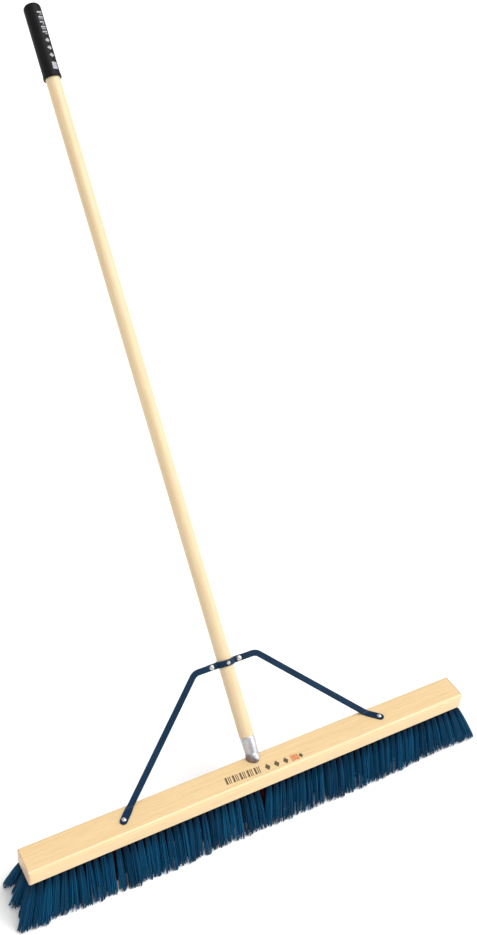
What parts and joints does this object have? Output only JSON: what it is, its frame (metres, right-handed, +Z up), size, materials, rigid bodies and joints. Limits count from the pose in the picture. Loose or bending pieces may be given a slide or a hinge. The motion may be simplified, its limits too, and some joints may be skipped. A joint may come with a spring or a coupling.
{
  "type": "push broom",
  "caption": "Push broom with a wide wooden block, slanted wooden handle with grip, steel brace and stiff two-colour bristle rows that flex.",
  "frame": {"origin": "centre of the trimmed bristle tips, on the floor plane", "axes": "+X along the block, +Y towards the side the handle leans to, +Z up"},
  "size_m": [0.9732, 1.1241, 1.1897],
  "materials": {
    "block_wood": "clear varnished hardwood",
    "pole_wood": "clear varnished pale wood",
    "brace_enamel": "semi-gloss dark blue enamel",
    "zinc_steel": "zinc plated",
    "staple_wire": "drawn wire",
    "cast_ferrule": "as cast, lightly tumbled",
    "grip_rubber": "satin",
    "outer_fibre": "blue synthetic fibre",
    "inner_fibre": "maroon synthetic fibre"
  },
  "bodies": {
    "broom": {"broom_block": "block_wood", "tuft_roots": "inner_fibre", "tuft_staples": "staple_wire", "handle_pole": "pole_wood", "threaded_ferrule": "cast_ferrule", "ferrule_nail": "zinc_steel", "handle_grip": "grip_rubber", "brace_bow": "brace_enamel", "clamp_strap": "brace_enamel", "clamp_bolts": "zinc_steel", "clamp_washers": "zinc_steel", "clamp_nuts": "zinc_steel", "handle_screw": "zinc_steel", "foot_screws": "zinc_steel"},
    "front_row": {"front_row_tufts": "outer_fibre"},
    "second_row": {"second_row_tufts": "inner_fibre", "second_row_end_tufts": "outer_fibre"},
    "middle_row": {"middle_row_tufts": "inner_fibre", "middle_row_end_tufts": "outer_fibre"},
    "fourth_row": {"fourth_row_tufts": "inner_fibre", "fourth_row_end_tufts": "outer_fibre"},
    "rear_row": {"rear_row_tufts": "outer_fibre"}
  },
  "joints": [
    {"name": "front_row_flex", "type": "hinge", "parent": "broom", "child": "front_row", "pos_m": [0, -0.022, 0.09], "axis": [1, 0, 0], "range_deg": [-15, 15], "stiffness_Nm_per_rad": 5},
    {"name": "second_row_flex", "type": "hinge", "parent": "broom", "child": "second_row", "pos_m": [0, -0.011, 0.09], "axis": [1, 0, 0], "range_deg": [-15, 15], "stiffness_Nm_per_rad": 5},
    {"name": "middle_row_flex", "type": "hinge", "parent": "broom", "child": "middle_row", "pos_m": [0, 0, 0.09], "axis": [1, 0, 0], "range_deg": [-15, 15], "stiffness_Nm_per_rad": 5},
    {"name": "fourth_row_flex", "type": "hinge", "parent": "broom", "child": "fourth_row", "pos_m": [0, 0.011, 0.09], "axis": [1, 0, 0], "range_deg": [-15, 15], "stiffness_Nm_per_rad": 5},
    {"name": "rear_row_flex", "type": "hinge", "parent": "broom", "child": "rear_row", "pos_m": [0, 0.022, 0.09], "axis": [1, 0, 0], "range_deg": [-15, 15], "stiffness_Nm_per_rad": 5}
  ],
  "couplings": [
    {"joint": "front_row_flex", "follows": "middle_row_flex", "ratio": 1},
    {"joint": "second_row_flex", "follows": "middle_row_flex", "ratio": 1},
    {"joint": "fourth_row_flex", "follows": "middle_row_flex", "ratio": 1},
    {"joint": "rear_row_flex", "follows": "middle_row_flex", "ratio": 1}
  ]
}
